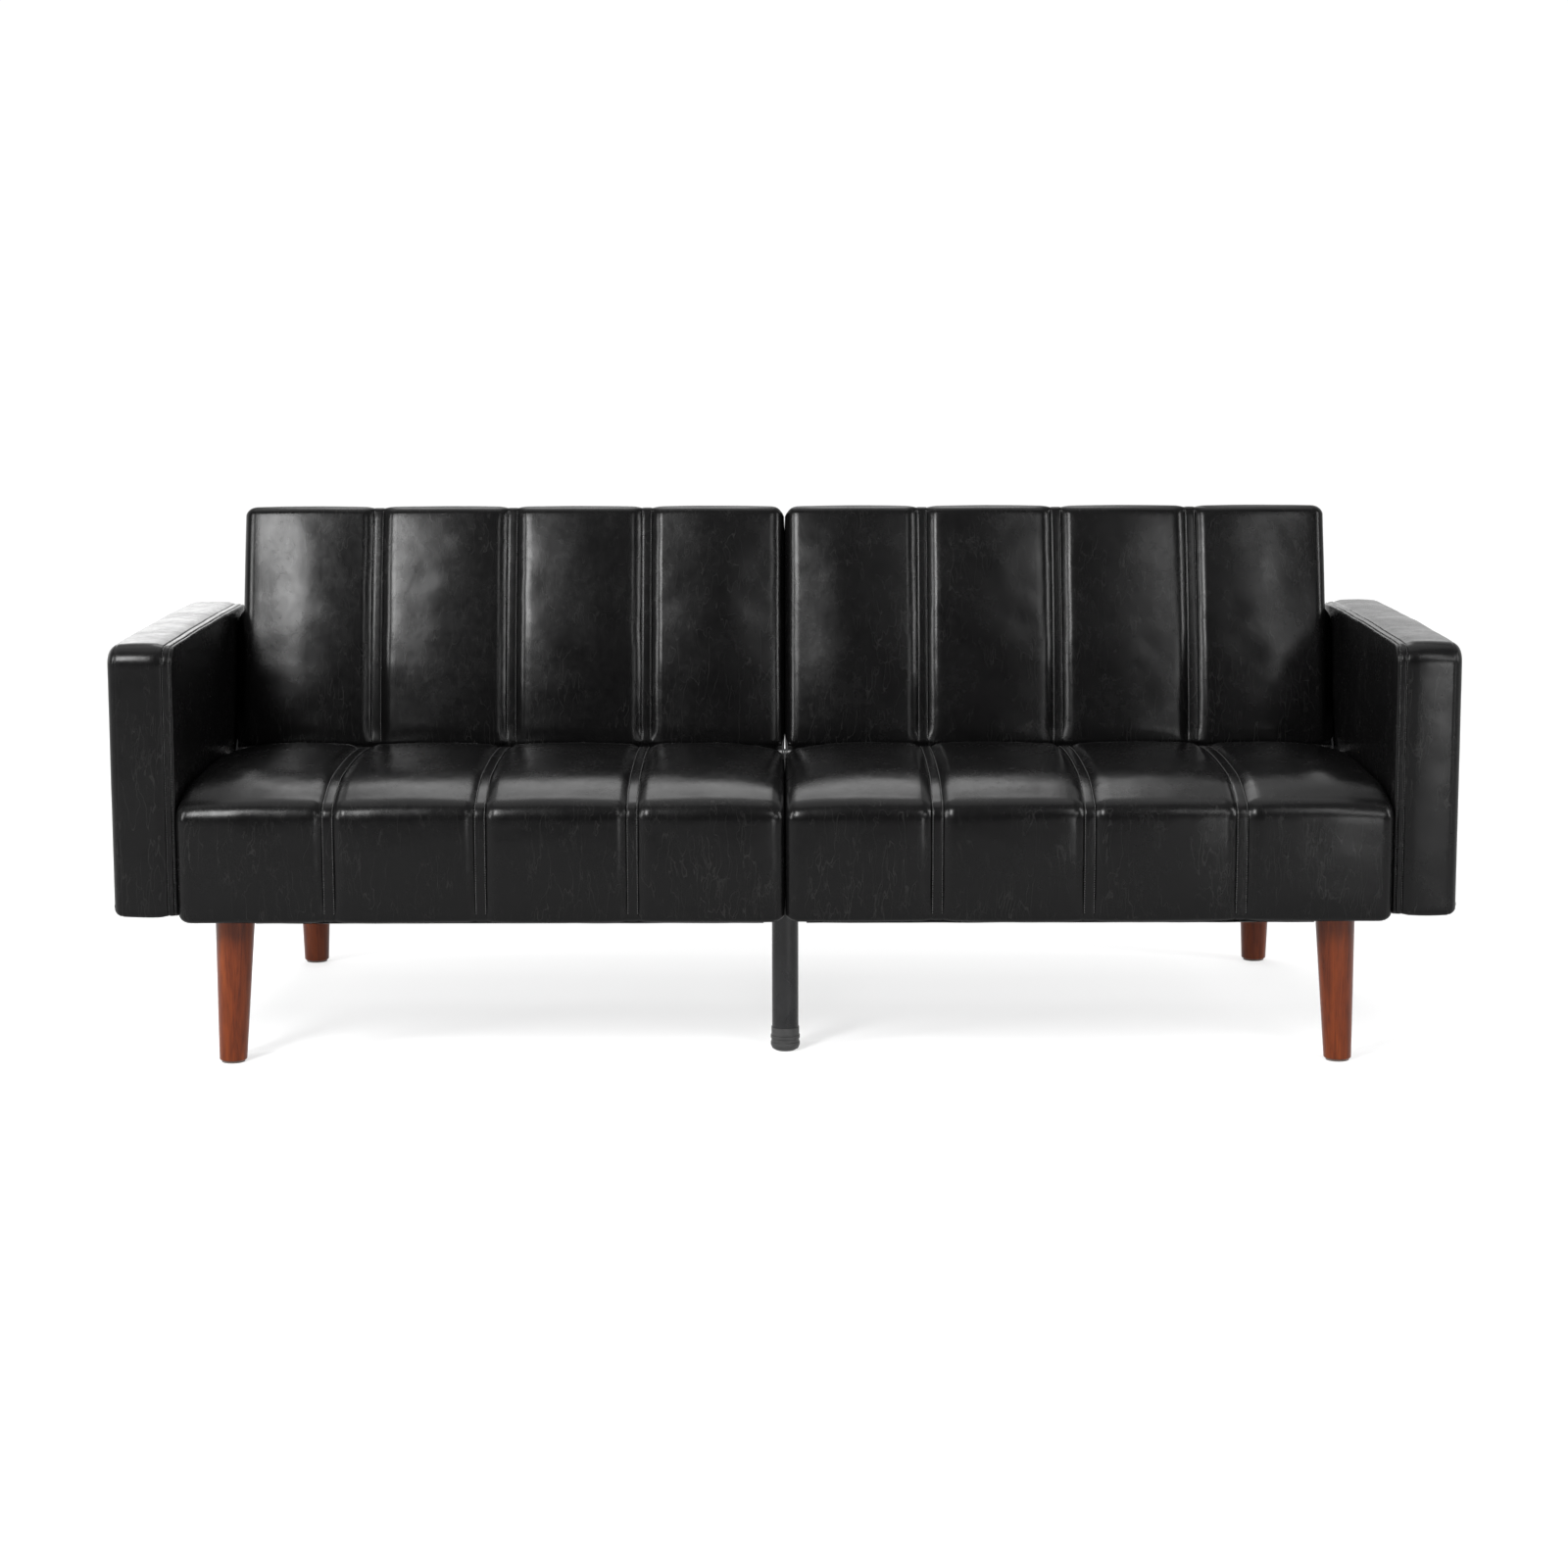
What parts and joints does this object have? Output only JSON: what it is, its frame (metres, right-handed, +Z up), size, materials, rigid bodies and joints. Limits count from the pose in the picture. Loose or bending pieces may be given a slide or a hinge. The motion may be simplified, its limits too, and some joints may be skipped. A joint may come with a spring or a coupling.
{
  "type": "futon sofa bed",
  "caption": "Black leather-look futon sofa bed with a split reclining channelled back, box arms, tapered wood legs and a centre support leg.",
  "frame": {"origin": "on the floor under the middle of the sofa's overall box, in its sitting position", "axes": "+X along the seat, to the right for someone facing the sofa; the front faces -Y; +Z up"},
  "size_m": [1.88, 0.785, 0.753],
  "materials": {
    "leather": "satin",
    "foam": "matte",
    "timber": "matte",
    "spring_wire": "satin",
    "dust_cloth": "matte",
    "zinc": "satin",
    "black_steel": "satin",
    "leg_wood": "satin",
    "glide": "matte",
    "rubber_foot": "matte"
  },
  "bodies": {
    "root": {"seat_cover_left": "leather", "seat_foam_left": "foam", "seat_long_rails_left": "timber", "seat_short_rails_left": "timber", "seat_springs_left": "spring_wire", "dust_cover_left": "dust_cloth", "arm_cover_left": "leather", "arm_board_left": "timber", "arm_padding_left": "foam", "arm_bolts_left": "zinc", "base_side_rail_left": "black_steel", "seat_hinge_plate_left": "black_steel", "leg_front_left": "leg_wood", "leg_rear_left": "leg_wood", "seat_cover_right": "leather", "seat_foam_right": "foam", "seat_long_rails_right": "timber", "seat_short_rails_right": "timber", "seat_springs_right": "spring_wire", "dust_cover_right": "dust_cloth", "arm_cover_right": "leather", "arm_board_right": "timber", "arm_padding_right": "foam", "arm_bolts_right": "zinc", "base_side_rail_right": "black_steel", "seat_hinge_plate_right": "black_steel", "leg_front_right": "leg_wood", "leg_rear_right": "leg_wood", "base_end_bars": "black_steel", "base_hinge_bars": "black_steel", "base_centre_beam": "black_steel", "seat_bolts": "zinc", "leg_plates": "black_steel", "leg_hanger_bolts": "zinc", "leg_glides": "glide", "centre_leg_tube": "black_steel", "centre_leg_foot": "rubber_foot", "seat_hinge_plate_centre": "black_steel", "pivot_pins": "zinc", "pawl_pins": "zinc", "pawl_springs": "spring_wire"},
    "back_left": {"back_cover_left": "leather", "back_foam_left": "foam", "back_rails_left": "timber", "back_stiles_left": "timber", "back_springs_left": "spring_wire", "back_hinge_plates_left": "black_steel", "hinge_bolts_left": "zinc"},
    "pawls_left": {"pawls_left": "zinc"},
    "back_right": {"back_cover_right": "leather", "back_foam_right": "foam", "back_rails_right": "timber", "back_stiles_right": "timber", "back_springs_right": "spring_wire", "back_hinge_plates_right": "black_steel", "hinge_bolts_right": "zinc"},
    "pawls_right": {"pawls_right": "zinc"}
  },
  "joints": [
    {"name": "back_recline_left", "type": "hinge", "parent": "root", "child": "back_left", "pos_m": [0, 0.0935, 0.378], "axis": [1, 0, 0], "range_deg": [-75.9, 13]},
    {"name": "pawl_follow_left", "type": "hinge", "parent": "root", "child": "pawls_left", "pos_m": [0, 0.0595, 0.349], "axis": [1, 0, 0], "range_deg": [-7.7, 1.4]},
    {"name": "back_recline_right", "type": "hinge", "parent": "root", "child": "back_right", "pos_m": [0, 0.0935, 0.378], "axis": [1, 0, 0], "range_deg": [-75.9, 13]},
    {"name": "pawl_follow_right", "type": "hinge", "parent": "root", "child": "pawls_right", "pos_m": [0, 0.0595, 0.349], "axis": [1, 0, 0], "range_deg": [-7.7, 1.4]}
  ],
  "couplings": [
    {"joint": "pawl_follow_left", "follows": "back_recline_left", "ratio": 0.1},
    {"joint": "pawl_follow_right", "follows": "back_recline_right", "ratio": 0.1}
  ]
}
